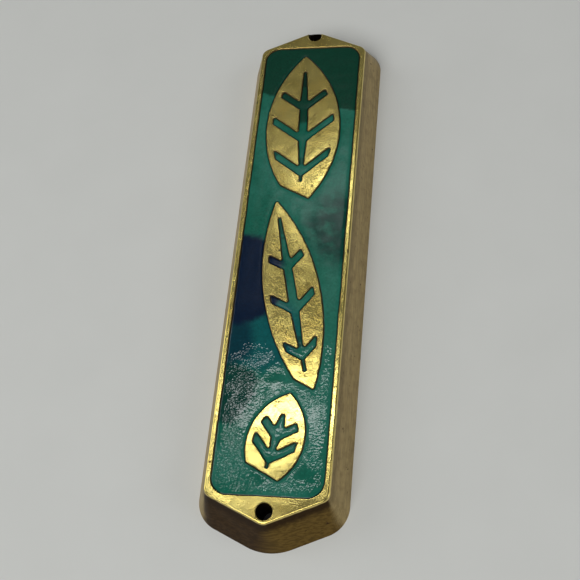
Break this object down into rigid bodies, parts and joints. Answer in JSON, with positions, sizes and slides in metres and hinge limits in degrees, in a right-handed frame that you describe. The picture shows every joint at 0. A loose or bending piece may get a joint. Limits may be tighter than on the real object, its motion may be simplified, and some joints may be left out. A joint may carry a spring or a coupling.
{
  "type": "mezuzah case",
  "caption": "Long brass case with pointed ends, an enamelled panel with raised leaves, nail holes, a back cover that slides out and a parchment scroll inside.",
  "frame": {"origin": "middle of the case's flat back, which lies on the ground plane", "axes": "+X to the right of the face, +Y towards the top end, +Z out of the face"},
  "size_m": [0.0242, 0.0995, 0.0066],
  "materials": {
    "case_brass": "polished",
    "green_enamel": "gloss",
    "dark_green_enamel": "gloss",
    "navy_enamel": "gloss",
    "sheet_brass": "satin",
    "parchment": "matte"
  },
  "bodies": {
    "case": {"case_body": "case_brass", "enamel_green": "green_enamel", "enamel_dark_green": "dark_green_enamel", "enamel_navy": "navy_enamel"},
    "cover": {"back_cover": "sheet_brass"},
    "scroll": {"parchment_scroll": "parchment"}
  },
  "joints": [
    {"name": "cover_slide", "type": "slide", "parent": "case", "child": "cover", "axis": [0, 1, 0], "range_m": [0, 0.085]},
    {"name": "scroll_shift", "type": "slide", "parent": "case", "child": "scroll", "axis": [0, 1, 0], "range_m": [-0.0022, 0.0022]}
  ]
}
